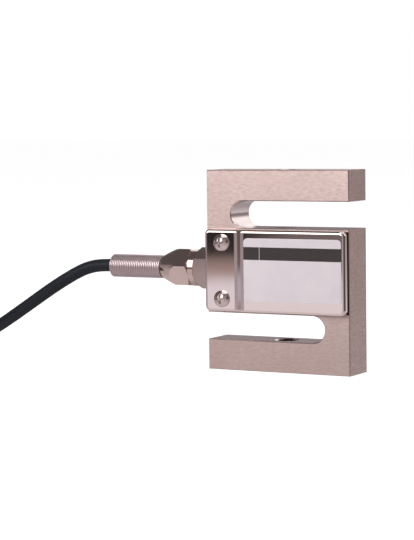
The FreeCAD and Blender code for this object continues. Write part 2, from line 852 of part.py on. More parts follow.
def build_gauges():
    """Four foil gauges bonded to the thinnest places of the cavity's two lobes."""
    radius = size("sizes.lobe_radius - sizes.gauge_bond")
    thickness = size("sizes.gauge_thickness")
    depth = size("sizes.gauge_width")
    spread = math.degrees(size("sizes.gauge_length") / radius)
    for upper in (True, False):
        for left in (True, False):
            middle = 90 if upper else 270
            outer = Part.makeCylinder(radius, depth, Vector(), Z_AXIS, spread)
            inner = Part.makeCylinder(radius - thickness, depth, Vector(), Z_AXIS, spread)
            foil = outer.cut(inner)
            foil.rotate(Vector(), Z_AXIS, middle - spread / 2)
            foil.rotate(Vector(), X_AXIS, 90)
            side = -1 if left else 1
            foil.translate(Vector(side * size("sizes.lobe_offset"), depth / 2, size(MIDDLE)))
            label = f"strain_gauge_{'upper' if upper else 'lower'}_{'left' if left else 'right'}"
            solid_feature(label, foil)


BOARD_FLOOR = f"{MIDDLE} - sizes.cavity_neck_height / 2"
BOARD_TOP = f"{BOARD_FLOOR} + sizes.board_thickness"


def build_block(label, sides, place):
    """A small rectangular block, given its sizes and its lowest corner as expressions."""
    block = doc.addObject("Part::Box", label)
    for name, text in zip(("Length", "Width", "Height"), sides):
        block.setExpression(name, text)
    for axis, text in zip("xyz", place):
        block.setExpression(f"Placement.Base.{axis}", text)
    return node(block, label)


def build_board():
    """The terminal board on the neck's floor, with its two trimming resistors."""
    build_block(
        "terminal_board",
        ("sizes.board_length", "sizes.board_width", "sizes.board_thickness"),
        ("-sizes.board_length / 2", "-sizes.board_width / 2", BOARD_FLOOR),
    )
    chip = ("sizes.chip_width", "sizes.chip_length", "sizes.chip_height")
    for label, place in (
        ("balance_resistor", "-0.7 * sizes.chip_width"),
        ("span_resistor", "sizes.board_length / 2 - sizes.chip_width"),
    ):
        build_block(label, chip, (place, "-sizes.chip_length / 2", BOARD_TOP))


def build_inner_leads():
    """The cable's four conductors, from the cut jacket to the board's pads."""
    radius = size("sizes.lead_radius")
    start_x = size(f"{LEFT} + sizes.gland_stub_length + sizes.fit_clearance")
    middle = size(MIDDLE)
    top = size(BOARD_TOP) + radius + size("sizes.fit_clearance")
    edge = -size("sizes.board_length") / 2
    spread = 0.8
    leads = (
        ("inner_lead_red", -spread, spread, -2.9),
        ("inner_lead_black", -spread, -spread, -1.0),
        ("inner_lead_green", spread, -spread, 1.0),
        ("inner_lead_white", spread, spread, 2.9),
    )
    for label, y_start, z_start, y_end in leads:
        route = [
            Vector(start_x, y_start, middle + z_start),
            Vector(start_x + 5.0, y_start, middle + z_start),
            Vector(edge - 1.2, y_end, top),
            Vector(edge + 1.3, y_end, top),
        ]
        tube, _, _ = tube_along(route, radius)
        solid_feature(label, tube)


def build_gauge_wires():
    """A pair of fine wires from each gauge to the board."""
    radius = size("sizes.gauge_wire_radius")
    offset = size("sizes.lobe_offset")
    lobe = size("sizes.lobe_radius")
    middle = size(MIDDLE)
    top = size(BOARD_TOP) + radius + size("sizes.fit_clearance")
    tab = size("sizes.gauge_length") / 2 + 0.3
    inside = size("sizes.gauge_thickness + sizes.gauge_bond") + radius + 0.1
    level = math.sqrt((lobe - inside) ** 2 - tab**2)
    landings = {
        ("upper", "left"): (0.35, 1.9),
        ("lower", "left"): (-1.6, 4.2),
        ("upper", "right"): (0.35, 2.6),
        ("lower", "right"): (1.4, 3.4),
    }
    for (height, hand), (x_end, y_end) in landings.items():
        rise = 1 if height == "upper" else -1
        side = -1 if hand == "left" else 1
        inward = offset - tab
        tubes = []
        for way in (-1, 1):
            route = [Vector(side * inward, way, middle + rise * level)]
            if rise > 0:
                route.append(Vector(side * 1.6, way * y_end, middle - 0.5))
            else:
                route.append(Vector(side * (abs(x_end) + 1.6), way * y_end, top + 0.6))
            route.append(Vector(x_end, way * y_end, top))
            tube, _, _ = tube_along(route, radius)
            tubes.append(tube)
        solid_feature(f"gauge_wires_{height}_{hand}", Part.makeCompound(tubes))


def cable_axis_x(expression):
    """A place along the gland's axis, as its X."""
    return size(f"{LEFT} - ({expression})")


def build_cable_in_gland():
    """The stretch of cable that the gland and the spring hold."""
    rod = doc.addObject("Part::Cylinder", "cable_in_gland")
    rod.setExpression("Radius", "sizes.cable_radius")
    length = f"{SPRING_END} + sizes.gland_stub_length"
    rod.setExpression("Height", length)
    rod.Placement = Placement(Vector(), Rotation(Y_AXIS, -90))
    rod.setExpression("Placement.Base.x", f"{LEFT} + sizes.gland_stub_length")
    rod.setExpression("Placement.Base.z", MIDDLE)
    return node(rod, "cable_in_gland")


def hank_values():
    """The hank's lane pitch, outer half width, height and centre, all from the cable's radius."""
    pitch = 2 * size("sizes.cable_radius")
    lane = size("sizes.hank_fold_radius") + pitch
    height = size("sizes.hank_layers") * pitch
    centre = size(f"{LEFT} - sizes.hank_centre_distance")
    return pitch, lane, height, centre


def build_cable():
    """The free cable, from the spring down to the floor and into the hank's outer lane."""
    radius = size("sizes.cable_radius")
    middle = size(MIDDLE)
    exit_x = cable_axis_x(SPRING_END)
    _, lane, _, centre = hank_values()
    fold_x = centre + size("sizes.hank_span / 2")
    entry_x = fold_x + size("sizes.hank_entry_reach")
    ground = radius + size("sizes.hank_rest_gap")
    route = [
        Vector(exit_x, 0, middle),
        Vector(exit_x - 5.0, 0, middle),
        Vector(exit_x - 9.9, 0, middle - 0.9),
        Vector(exit_x - 14.6, 0.1, middle - 2.7),
        Vector(exit_x - 24.0, 0.6, middle - 7.6),
        Vector(exit_x - 37.0, 2.3, middle - 15.2),
        Vector(exit_x - 50.0, 5.3, middle - 22.3),
        Vector(exit_x - 62.0, 10.1, middle - 27.4),
        Vector(exit_x - 72.0, lane - 2.2, ground),
        Vector(exit_x - 80.2, lane, ground),
        Vector(entry_x, lane, ground),
    ]
    tube, length, radii = tube_along(route, radius)
    print("cable run", round(length, 1), "mm, bends", [round(bend, 1) for bend in radii])
    return solid_feature("cable", tube)


def peanut_face(half_length, end_radius, waist, waist_half_length, level):
    """A flat face with two round ends and a narrow waist, like a tied hank seen from above."""
    end_x = half_length - end_radius
    reach = Vector(end_x - waist_half_length, -waist, 0)
    away = reach.Length
    lean = math.asin(end_radius / away) + math.atan2(reach.y, reach.x)
    run = math.sqrt(away * away - end_radius * end_radius)
    touch_x = waist_half_length + run * math.cos(lean)
    touch_y = waist + run * math.sin(lean)
    corner = Vector(waist_half_length, waist, level)
    touch = Vector(touch_x, touch_y, level)
    far = Vector(half_length, 0, level)

    def flip(point, x_sign, y_sign):
        """The same point in another quarter."""
        return Vector(point.x * x_sign, point.y * y_sign, point.z)

    edges = [
        Part.LineSegment(flip(corner, -1, 1), corner),
        Part.LineSegment(corner, touch),
        Part.Arc(touch, far, flip(touch, 1, -1)),
        Part.LineSegment(flip(touch, 1, -1), flip(corner, 1, -1)),
        Part.LineSegment(flip(corner, 1, -1), flip(corner, -1, -1)),
        Part.LineSegment(flip(corner, -1, -1), flip(touch, -1, -1)),
        Part.Arc(flip(touch, -1, -1), flip(far, -1, 1), flip(touch, -1, 1)),
        Part.LineSegment(flip(touch, -1, 1), flip(corner, -1, 1)),
    ]
    return Part.Face(Part.Wire([edge.toShape() for edge in edges]))


def build_hank():
    """The put-away cable's outer shape: two fold ends, a tied waist and the cable's way in."""
    radius = size("sizes.cable_radius")
    _, lane, height, centre = hank_values()
    ground = size("sizes.hank_rest_gap")
    end_radius = lane + radius
    half_length = size("sizes.hank_span / 2") + end_radius
    waist = size("sizes.hank_waist_half_width")
    tie_half = size("sizes.tie_width / 2 + sizes.fit_clearance")
    face = peanut_face(half_length, end_radius, waist, tie_half, ground)
    body = face.extrude(Vector(0, 0, height))
    rim = [
        edge
        for edge in body.Edges
        if near(edge.Vertexes[0].Z, edge.Vertexes[-1].Z)
        and not all(near(abs(vertex.Y), waist) for vertex in edge.Vertexes)
    ]
    body = body.makeChamfer(size("sizes.hank_edge_break"), rim)
    recess = size("sizes.tie_thickness + sizes.fit_clearance")
    notch = Part.makeBox(
        2 * tie_half, 2 * end_radius, recess, Vector(-tie_half, -end_radius, ground)
    )
    body = body.cut(notch)
    reach = size("sizes.hank_entry_reach")
    way_in = Part.makeCylinder(
        radius, reach, Vector(half_length - end_radius, lane, ground + radius), X_AXIS
    )
    body = body.fuse(way_in).removeSplitter()
    body.translate(Vector(centre, 0, 0))
    return solid_feature("cable_hank", body)


def tail_level():
    """The height of the cable's last stretch, which lies over the hank."""
    _, _, height, _ = hank_values()
    return size("sizes.hank_rest_gap + sizes.sleeve_radius + sizes.fit_clearance") + height


def build_tie():
    """The strap round the hank's waist and the cable's last stretch."""
    body = doc.addObject("PartDesign::Body", "hank_tie")
    _, _, _, centre = hank_values()
    inner_half = "sizes.hank_waist_half_width + sizes.fit_clearance"
    height = "sizes.hank_layers * sizes.cable_radius * 2"
    tail = f"{height} + sizes.hank_rest_gap + sizes.sleeve_radius + sizes.cable_radius"
    top = f"{tail} + 2 * sizes.fit_clearance"
    thick = "sizes.tie_thickness"
    outer = add_sketch(body, "tie_outer", "YZ_Plane")
    floor = "sizes.hank_rest_gap"
    add_outline(
        outer,
        box_corners(f"-({inner_half} + {thick})", f"{inner_half} + {thick}", floor, f"{top} + {thick}"),
    )
    pad(body, outer, "sizes.tie_width", both_ways=True)
    corners = edges_where(body.Shape, lambda edge: runs_along(edge, X_AXIS))
    dress(body, "Fillet", corners, thick)
    inner = add_sketch(body, "tie_inner", "YZ_Plane")
    add_outline(
        inner, box_corners(f"-({inner_half})", inner_half, f"{floor} + {thick}", top)
    )
    pocket_through(body, inner)
    body.Placement = Placement(Vector(centre, 0, 0), Rotation())
    body.setExpression("Placement.Base.x", f"{LEFT} - sizes.hank_centre_distance")
    return node(body, "hank_tie")


def build_cable_end():
    """The cable's last stretch, its shrink sleeve, five splayed conductors and tinned tips."""
    radius = size("sizes.cable_radius")
    _, _, height, centre = hank_values()
    level = tail_level()
    start = centre + size("sizes.tail_before_tie")
    end = centre - size("sizes.tail_after_tie")
    tail = Part.makeCylinder(radius, start - end, Vector(end, 0, level), X_AXIS)
    solid_feature("cable_tail", tail)
    sleeve_length = size("sizes.sleeve_length")
    sleeve_radius = size("sizes.sleeve_radius")
    sleeve_end = end - sleeve_length
    sleeve = Part.makeCylinder(sleeve_radius, sleeve_length, Vector(sleeve_end, 0, level), X_AXIS)
    solid_feature("cable_end_sleeve", sleeve)

    lead_radius = size("sizes.end_lead_radius")
    tip_radius = size("sizes.lead_tip_radius")
    tip_length = size("sizes.lead_tip_length")
    reach = size("sizes.end_lead_length")
    rest = size("sizes.hank_rest_gap") + height + lead_radius + size("sizes.fit_clearance")
    leads = (
        ("end_lead_red", -1.3, 0.5, -9.5),
        ("end_lead_black", -0.7, -1.0, -4.6),
        ("end_lead_shield", 0.0, 1.2, 0.4),
        ("end_lead_green", 0.7, -1.0, 5.0),
        ("end_lead_white", 1.3, 0.5, 9.2),
    )
    for label, y_start, z_start, y_end in leads:
        route = [
            Vector(sleeve_end, y_start, level + z_start),
            Vector(sleeve_end - reach * 0.25, y_start, level + z_start),
            Vector(sleeve_end - reach * 0.6, y_start + (y_end - y_start) * 0.6, rest),
            Vector(sleeve_end - reach, y_end, rest),
        ]
        tube, _, _ = tube_along(route, lead_radius)
        way = (route[-1] - route[-2]).normalize()
        tip = Part.makeCylinder(tip_radius, tip_length, route[-1], way)
        solid_feature(label, tube.fuse(tip))


def check_and_write():
    """Stops at a failed object or shape, then writes one STEP file for each sub-part."""
    doc.recompute()
    for item in doc.Objects:
        if "Invalid" in item.State or "Error" in item.State:
            raise RuntimeError(f"{item.Label} failed: {item.State}")
    for item in NODES:
        if item.Shape.isNull() or not item.Shape.isValid():
            raise RuntimeError(f"{item.Label} has no valid shape")
    os.makedirs("parts", exist_ok=True)
    for item in NODES:
        item.Shape.exportStep(f"parts/{item.Label}.step")
    print(len(NODES), "sub-parts written")


build_beam()
for front in (True, False):
    side_name = "front" if front else "rear"
    build_cover(f"{side_name}_cover", front)
    build_pad(f"{side_name}_cover_pad", front)
    for upper in (True, False):
        build_screw(f"{side_name}_screw_{'upper' if upper else 'lower'}", front, upper)
build_label()
build_gland_body()
build_gland_nut()
build_ring(
    "gland_o_ring",
    "sizes.o_ring_inner_radius",
    "sizes.o_ring_inner_radius + sizes.o_ring_width",
    "sizes.fit_clearance / 2",
    "sizes.o_ring_groove_depth - sizes.fit_clearance / 2",
)
build_ring(
    "gland_seal",
    "sizes.cable_radius + sizes.fit_clearance",
    "sizes.seal_pocket_radius - sizes.fit_clearance",
    "sizes.seal_pocket_start",
    SEAL_END,
)
build_ring(
    "gland_clamp_sleeve",
    "sizes.nut_bore_radius",
    "sizes.seal_pocket_radius - sizes.fit_clearance",
    SEAL_END,
    SHOULDER,
)
build_spring()
build_gauges()
build_board()
build_inner_leads()
build_gauge_wires()
build_cable_in_gland()
build_cable()
build_hank()
build_tie()
build_cable_end()
check_and_write()
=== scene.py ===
import itertools
import json
import math

import bmesh
import bpy
from mathutils import Matrix, Vector


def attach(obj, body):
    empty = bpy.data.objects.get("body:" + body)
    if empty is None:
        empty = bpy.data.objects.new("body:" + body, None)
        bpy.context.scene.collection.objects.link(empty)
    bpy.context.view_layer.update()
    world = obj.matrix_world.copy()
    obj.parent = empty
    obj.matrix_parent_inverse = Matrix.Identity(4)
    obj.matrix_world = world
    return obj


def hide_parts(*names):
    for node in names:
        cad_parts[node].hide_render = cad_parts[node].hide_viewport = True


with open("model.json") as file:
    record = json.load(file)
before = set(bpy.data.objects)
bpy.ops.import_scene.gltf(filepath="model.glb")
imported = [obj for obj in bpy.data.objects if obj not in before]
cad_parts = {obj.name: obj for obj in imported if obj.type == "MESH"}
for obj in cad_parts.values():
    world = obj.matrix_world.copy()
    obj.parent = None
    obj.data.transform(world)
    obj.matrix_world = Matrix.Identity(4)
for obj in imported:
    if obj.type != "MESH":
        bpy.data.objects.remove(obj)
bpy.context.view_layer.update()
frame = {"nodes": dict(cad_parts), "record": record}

# Sizes and places are written in mm here, and Blender works in metres.
MM = 0.001
UP = Vector((0, 0, 1))


def srgb(red, green, blue):
    """A colour given as 0 to 255 display values, as Blender's linear numbers."""
    linear = []
    for value in (red, green, blue):
        share = value / 255
        linear.append(share / 12.92 if share <= 0.04045 else ((share + 0.055) / 1.055) ** 2.4)
    return (*linear, 1.0)


def add_object(name, data):
    """A new object in the scene."""
    item = bpy.data.objects.new(name, data)
    bpy.context.scene.collection.objects.link(item)
    return item


# ---------------------------------------------------------------- camera
# Solved from the photograph's own edges. The angles are in degrees.
CAMERA_PLACE = (275.84, -546.64, 80.13)
CAMERA_YAW = 29.13
CAMERA_PITCH = 4.46
CAMERA_ROLL = -0.77
CAMERA_LENS = 128.80
CAMERA_SENSOR = 36


def make_camera():
    yaw, pitch, roll = (math.radians(angle) for angle in (CAMERA_YAW, CAMERA_PITCH, CAMERA_ROLL))
    ahead = Vector(
        (-math.sin(yaw) * math.cos(pitch), math.cos(yaw) * math.cos(pitch), -math.sin(pitch))
    )
    right = ahead.cross(UP).normalized()
    up = right.cross(ahead)
    turned_right = math.cos(roll) * right + math.sin(roll) * up
    turned_up = -math.sin(roll) * right + math.cos(roll) * up
    data = bpy.data.cameras.new("camera")
    data.lens = CAMERA_LENS
    data.sensor_width = CAMERA_SENSOR
    data.clip_end = 20
    camera = add_object("camera", data)
    basis = Matrix((turned_right, turned_up, -ahead)).transposed().to_4x4()
    camera.matrix_world = Matrix.Translation(Vector(CAMERA_PLACE) * MM) @ basis
    bpy.context.scene.camera = camera


make_camera()


# ---------------------------------------------------------------- cord
CABLE_RADIUS = 2.1
CABLE_BEVEL = 1.5
EXIT = (-64.22, 0.0, 32.0)
FREE_RUN = [
    EXIT,
    (-69.22, 0.0, 32.0),
    (-74.12, 0.0, 31.1),
    (-78.82, 0.1, 29.3),
    (-88.22, 0.6, 24.4),
    (-101.22, 2.3, 16.8),
    (-114.22, 5.3, 9.7),
    (-126.22, 10.1, 4.6),
    (-136.22, 14.6, 2.15),
    (-144.42, 16.8, 2.15),
    (-151.4, 16.8, 2.15),
]
# The hank lies along X. Each layer holds two lanes, folded round one centre at either end.
HANK_X = -186.0
LAYERS = 5
LANES = {"outer": 16.8, "inner": 12.6}
FOLD_X = 22.1
FOLD_STEP = 30.64
FOLD_STEPS = 8
FOLD_ANGLES = [FOLD_STEP * (FOLD_STEPS / 2 - step) for step in range(FOLD_STEPS + 1)]
# At the tie the strands bend the other way, round a centre beside the waist.
WAIST_CENTRE = 19.99
WAIST_STEP = 31.9
CENTRES_APART = 29.8
TAIL_LEVEL = 23.6


def end_level(layer):
    """The height of a layer's strands at the hank's ends."""
    return 2.15 + 4.2 * layer


def waist_level(layer):
    """The height of a layer's strands where the tie draws them together."""
    return 3.3 + 3.8 * layer


def waist_points(lane, layer, side, way):
    """The points where a strand runs through the tied waist, on one side and in one direction."""
    level = waist_level(layer)
    between = (end_level(layer) + level) / 2
    reach = (CENTRES_APART - LANES[lane]) / math.cos(math.radians(WAIST_STEP / 2))
    across = reach * math.sin(math.radians(WAIST_STEP))
    beside = WAIST_CENTRE - reach * math.cos(math.radians(WAIST_STEP))
    points = [
        (-across, beside, between),
        (0, WAIST_CENTRE - reach, level),
        (across, beside, between),
    ]
    return [(HANK_X + x, side * y, z) for x, y, z in points[::way]]


def fold_points(side, start, end, way):
    """The points round one fold, changing lane and layer evenly from start to end."""
    points = []
    for step, angle in enumerate(FOLD_ANGLES):
        share = min(max((step - 1) / (FOLD_STEPS - 2), 0), 1)
        share = share * share * (3 - 2 * share)
        radius = start[0] + (end[0] - start[0]) * share
        level = start[1] + (end[1] - start[1]) * share
        reach = radius / math.cos(math.radians(FOLD_STEP / 2))
        turned = math.radians(angle * way)
        x = HANK_X + side * (FOLD_X + reach * math.cos(turned))
        points.append((x, reach * math.sin(turned), level))
    return points


def hank_points():
    """The points of all the hank's turns, and of the tail that lies on it along the middle."""
    turns = []
    for layer in range(LAYERS):
        pair = ("outer", "inner") if layer % 2 == 0 else ("inner", "outer")
        turns += [(lane, layer) for lane in pair]
    places = [(LANES[lane], end_level(layer)) for lane, layer in turns]
    places.append((LANES["inner"], end_level(LAYERS)))
    points = [(HANK_X + 18.3, 16.8, 2.15), (HANK_X + 11.5, 13.5, 2.3)]
    for (lane, layer), here, following in zip(turns, places, places[1:]):
        points += waist_points(lane, layer, 1, -1)
        points += fold_points(-1, here, here, 1)
        points += waist_points(lane, layer, -1, 1)
        points += fold_points(1, here, following, -1)
    return points + [
        (HANK_X + 7.3, 2.4, 23.4),
        (HANK_X + 1.9, 0.0, TAIL_LEVEL),
        (HANK_X - 2.2, 0.0, TAIL_LEVEL),
        (HANK_X - 5.4, 0.0, TAIL_LEVEL),
    ]


def make_cable():
    """The whole cable as one open NURBS spline, from the spring's mouth to the cut jacket."""
    points = FREE_RUN + hank_points()
    data = bpy.data.curves.new("signal_cable", "CURVE")
    data.dimensions = "3D"
    data.resolution_u = 6
    data.bevel_depth = CABLE_BEVEL
    data.bevel_resolution = 6
    data.use_fill_caps = True
    spline = data.splines.new("NURBS")
    spline.points.add(len(points) - 1)
    for control, point in zip(spline.points, points):
        control.co = (*(value * MM for value in point), 1.0)
        control.radius = CABLE_RADIUS * MM / CABLE_BEVEL
    spline.order_u = 3
    spline.use_endpoint_u = True
    spline.use_smooth = True
    return add_object("signal_cable", data)


cable = make_cable()
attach(cable, "root")
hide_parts("cable", "cable_hank", "cable_tail")


# ---------------------------------------------------------------- materials
class Shader:
    """A small helper that wires a Principled material's nodes."""

    def __init__(self, name, colour, metallic, roughness, **sockets):
        self.material = bpy.data.materials.new(name)
        self.material.use_nodes = True
        self.tree = self.material.node_tree
        self.main = self.tree.nodes["Principled BSDF"]
        self.main.inputs["Base Color"].default_value = colour
        self.main.inputs["Metallic"].default_value = metallic
        self.main.inputs["Roughness"].default_value = roughness
        for socket, value in sockets.items():
            self.main.inputs[socket.replace("_", " ")].default_value = value
        self.position = self.tree.nodes.new("ShaderNodeTexCoord").outputs["Object"]

    def feed(self, socket, value):
        """Gives a socket a number or colour, or joins another node to it."""
        if isinstance(value, bpy.types.NodeSocket):
            self.tree.links.new(value, socket)
        else:
            socket.default_value = value

    def link(self, value, socket):
        self.tree.links.new(value, self.main.inputs[socket])

    def place(self, stretch):
        """Object coordinates, stretched for grain that runs one way."""
        if stretch == (1, 1, 1):
            return self.position
        mapping = self.tree.nodes.new("ShaderNodeMapping")
        mapping.inputs["Scale"].default_value = stretch
        self.tree.links.new(self.position, mapping.inputs["Vector"])
        return mapping.outputs["Vector"]

    def axis(self, name):
        """One coordinate of the place on the object, in metres."""
        item = self.tree.nodes.new("ShaderNodeSeparateXYZ")
        self.tree.links.new(self.position, item.inputs["Vector"])
        return item.outputs[name]

    def noise(self, scale, detail, stretch=(1, 1, 1), roughness=0.5):
        item = self.tree.nodes.new("ShaderNodeTexNoise")
        item.inputs["Scale"].default_value = scale
        item.inputs["Detail"].default_value = detail
        item.inputs["Roughness"].default_value = roughness
        self.tree.links.new(self.place(stretch), item.inputs["Vector"])
        return item.outputs["Fac"]

    def spread(self, value, low, high, goal_low=0.0, goal_high=1.0):
        """Maps a value's range to another, held at its ends."""
        item = self.tree.nodes.new("ShaderNodeMapRange")
        item.inputs["From Min"].default_value = low
        item.inputs["From Max"].default_value = high
        item.inputs["To Min"].default_value = goal_low
        item.inputs["To Max"].default_value = goal_high
        self.tree.links.new(value, item.inputs["Value"])
        return item.outputs["Result"]

    def math(self, operation, first, second=0.0):
        item = self.tree.nodes.new("ShaderNodeMath")
        item.operation = operation
        self.feed(item.inputs[0], first)
        self.feed(item.inputs[1], second)
        return item.outputs["Value"]

    def all_of(self, first, *others):
        """Where every one of several tests holds."""
        for other in others:
            first = self.math("MULTIPLY", first, other)
        return first

    def mix(self, share, first, second):
        item = self.tree.nodes.new("ShaderNodeMix")
        item.data_type = "RGBA"
        colours = [entry for entry in item.inputs if entry.type == "RGBA"]
        self.feed(item.inputs["Factor"], share)
        self.feed(colours[0], first)
        self.feed(colours[1], second)
        return next(entry for entry in item.outputs if entry.type == "RGBA")

    def bump(self, height, strength, distance):
        item = self.tree.nodes.new("ShaderNodeBump")
        item.inputs["Strength"].default_value = strength
        item.inputs["Distance"].default_value = distance
        self.tree.links.new(height, item.inputs["Height"])
        self.link(item.outputs["Normal"], "Normal")


FACE_DARK = srgb(188, 166, 160)
FACE_LIGHT = srgb(209, 188, 183)
FACE_CLOUD = srgb(184, 162, 157)
WALL_DARK = srgb(205, 190, 188)
WALL_LIGHT = srgb(216, 201, 199)
# Painted shade: the bores' walls get a dark colour standing in for the shade inside them.
BORE_PAINTED_SHADE = srgb(92, 76, 68)
# Painted shade: a dark colour for the beam's face between each cover's edge and the beam's edge,
# standing in for the shadow in that gap.
PAINTED_GAP_SHADE = srgb(70, 58, 56)
BEAM_MIDDLE = 32
# Half sizes of the box just inside the beam's outer faces, where slot walls and bores lie.
INSIDE_WIDTH, INSIDE_DEPTH, INSIDE_HEIGHT = 24.9, 6.2, 31.9
BORE_RADIUS = 3.5
# Beside a cover, the face is darkened with painted shade beyond this depth and width, up to this
# half height.
SHADE_STRIP_DEPTH, SHADE_STRIP_WIDTH, SHADE_STRIP_HEIGHT = 6.3, 24.0, 12.9


def beam_metal():
    """Satin nickel: mottled on the ground outer faces, smoother in the slots, with painted shade
    darkening the bores and a strip of each face beside a cover.
    """
    shader = Shader("beam_plate", srgb(212, 190, 184), 1.0, 0.42)
    mottle = shader.noise(1300, 5.0, (0.45, 0.45, 1.3), 0.72)
    cloud = shader.noise(90, 3.0)
    depth = shader.math("ABSOLUTE", shader.axis("Y"))
    across = shader.math("ABSOLUTE", shader.axis("X"))
    level = shader.math("ABSOLUTE", shader.math("SUBTRACT", shader.axis("Z"), BEAM_MIDDLE * MM))
    reach = shader.math(
        "ADD", shader.math("POWER", across, 2.0), shader.math("POWER", depth, 2.0)
    )
    within = shader.all_of(
        shader.math("LESS_THAN", depth, INSIDE_DEPTH * MM),
        shader.math("LESS_THAN", across, INSIDE_WIDTH * MM),
        shader.math("LESS_THAN", level, INSIDE_HEIGHT * MM),
    )
    in_bore = shader.math("LESS_THAN", reach, (BORE_RADIUS * MM) ** 2)
    beside_cover = shader.all_of(
        shader.math("GREATER_THAN", depth, SHADE_STRIP_DEPTH * MM),
        shader.math("GREATER_THAN", across, SHADE_STRIP_WIDTH * MM),
        shader.math("LESS_THAN", level, SHADE_STRIP_HEIGHT * MM),
    )
    tone = shader.mix(shader.spread(mottle, 0.36, 0.64), FACE_DARK, FACE_LIGHT)
    outer = shader.mix(shader.spread(cloud, 0.3, 0.7, 0.0, 0.35), tone, FACE_CLOUD)
    # Painted shade: the strip beside each cover takes a dark colour in place of the gap's shadow.
    gap_shaded = shader.mix(beside_cover, outer, PAINTED_GAP_SHADE)
    machined = shader.mix(shader.spread(mottle, 0.3, 0.7), WALL_DARK, WALL_LIGHT)
    # Painted shade: inside the bores the colour is darkened where the light doesn't reach.
    inner = shader.mix(in_bore, machined, BORE_PAINTED_SHADE)
    shader.link(shader.mix(within, gap_shaded, inner), "Base Color")
    without = shader.math("SUBTRACT", 1.0, within)
    gloss = shader.math(
        "ADD",
        shader.math("MULTIPLY", within, shader.spread(mottle, 0.3, 0.7, 0.20, 0.16)),
        shader.math("MULTIPLY", without, shader.spread(mottle, 0.3, 0.7, 0.50, 0.34)),
    )
    shader.link(gloss, "Roughness")
    rough_share = shader.math("SUBTRACT", 1.0, shader.math("MULTIPLY", within, 0.92))
    shader.bump(shader.math("MULTIPLY", mottle, rough_share), 0.4, 0.00005)
    return shader.material


def metal(name, colour, dark, roughness, grain, strength, stretch=(1, 1, 1)):
    """Plated metal: a fine grain, cloudy gloss and a faint change of tone."""
    shader = Shader(name, srgb(*colour), 1.0, roughness)
    cloud = shader.spread(shader.noise(60, 2.0), 0.35, 0.7)
    shader.link(shader.mix(cloud, srgb(*colour), srgb(*dark)), "Base Color")
    fine = shader.noise(grain, 4.0, stretch, 0.6)
    gloss = shader.spread(fine, 0.3, 0.7, roughness * 0.85, roughness * 1.2)
    shader.link(gloss, "Roughness")
    shader.bump(fine, strength, 0.00002)
    return shader.material


def plastic(name, colour, dark, roughness, scale, strength, **sockets):
    """Moulded or extruded plastic and rubber: a slight texture and uneven tone."""
    shader = Shader(name, srgb(*colour), 0.0, roughness, **sockets)
    cloud = shader.spread(shader.noise(scale, 3.0), 0.3, 0.7)
    shader.link(shader.mix(cloud, srgb(*colour), srgb(*dark)), "Base Color")
    fine = shader.noise(scale * 6, 2.0)
    shader.link(shader.spread(fine, 0.3, 0.7, roughness * 0.85, roughness * 1.15), "Roughness")
    shader.bump(fine, strength, 0.00003)
    return shader.material


LABEL_LIGHT = srgb(231, 222, 226)
LABEL_DARK = srgb(224, 214, 220)
BAND_TONE = srgb(39, 27, 27)
BAND_BOTTOM, BAND_TOP = 35.75, 39.80
LINE_PLACE, LINE_HALF_WIDTH = -4.7, 0.07


def label_material():
    """A pale film with one dark band and a thin pale line across it."""
    shader = Shader("label_film", srgb(216, 207, 212), 0.0, 0.42)
    up = shader.axis("Z")
    from_line = shader.math("SUBTRACT", shader.axis("X"), LINE_PLACE * MM)
    printed = shader.all_of(
        shader.math("GREATER_THAN", up, BAND_BOTTOM * MM),
        shader.math("LESS_THAN", up, BAND_TOP * MM),
        shader.math("GREATER_THAN", shader.math("ABSOLUTE", from_line), LINE_HALF_WIDTH * MM),
    )
    film = shader.mix(shader.spread(shader.noise(140, 2.0), 0.3, 0.7), LABEL_LIGHT, LABEL_DARK)
    shader.link(shader.mix(printed, film, BAND_TONE), "Base Color")
    shader.link(shader.spread(shader.noise(900, 2.0), 0.3, 0.7, 0.36, 0.48), "Roughness")
    shader.bump(shader.noise(2500, 2.0), 0.15, 0.00002)
    return shader.material


